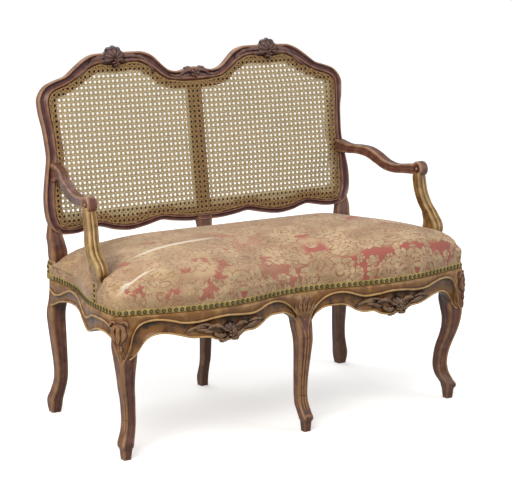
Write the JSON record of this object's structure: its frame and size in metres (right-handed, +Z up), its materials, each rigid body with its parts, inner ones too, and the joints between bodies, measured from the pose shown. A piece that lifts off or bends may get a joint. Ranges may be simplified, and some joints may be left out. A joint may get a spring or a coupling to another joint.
{
  "type": "settee",
  "caption": "Carved two-seat settee with a double-humped caned back, open scrolled arms, cabriole legs and a stuffed damask seat edged with gimp and brass nails.",
  "frame": {"origin": "on the floor, at the middle of the settee's footprint", "axes": "+X to the viewer's right along the seat, the front faces -Y, +Z up; the back leans towards +Y"},
  "size_m": [1.0886, 0.6148, 0.9625],
  "materials": {
    "frame_wood": "satin waxed walnut, worn golden on the raised edges",
    "inner_wood": "plain unpolished beech",
    "cane": "split cane, straw coloured, satin",
    "webbing": "coarse jute webbing",
    "hessian": "open jute cloth",
    "stuffing": "matted hair and fibre",
    "damask": "worn rose and cream damask",
    "gimp": "narrow yellow-olive braid",
    "nails": "aged brass, domed"
  },
  "bodies": {
    "root": {"crest_rail": "frame_wood", "back_bottom_rail": "frame_wood", "back_muntin": "frame_wood", "rear_leg_centre": "frame_wood", "front_leg_centre": "frame_wood", "rear_leg_stile_left": "frame_wood", "rear_leg_stile_right": "frame_wood", "front_leg_left": "frame_wood", "front_leg_right": "frame_wood", "front_rail_left": "frame_wood", "front_rail_right": "frame_wood", "side_rail_left": "frame_wood", "side_rail_right": "frame_wood", "rear_rail_left": "frame_wood", "rear_rail_right": "frame_wood", "arm_left": "frame_wood", "arm_right": "frame_wood", "arm_support_left": "frame_wood", "arm_support_right": "frame_wood", "centre_bearer": "inner_wood", "corner_block_front_left": "inner_wood", "corner_block_front_right": "inner_wood", "corner_block_rear_left": "inner_wood", "corner_block_rear_right": "inner_wood", "cane_panel": "cane", "webbing_lengthwise": "webbing", "webbing_crosswise": "webbing", "hessian": "hessian", "stuffing": "stuffing", "seat_cover": "damask", "gimp_braid": "gimp", "nail_heads": "nails"}
  },
  "joints": []
}
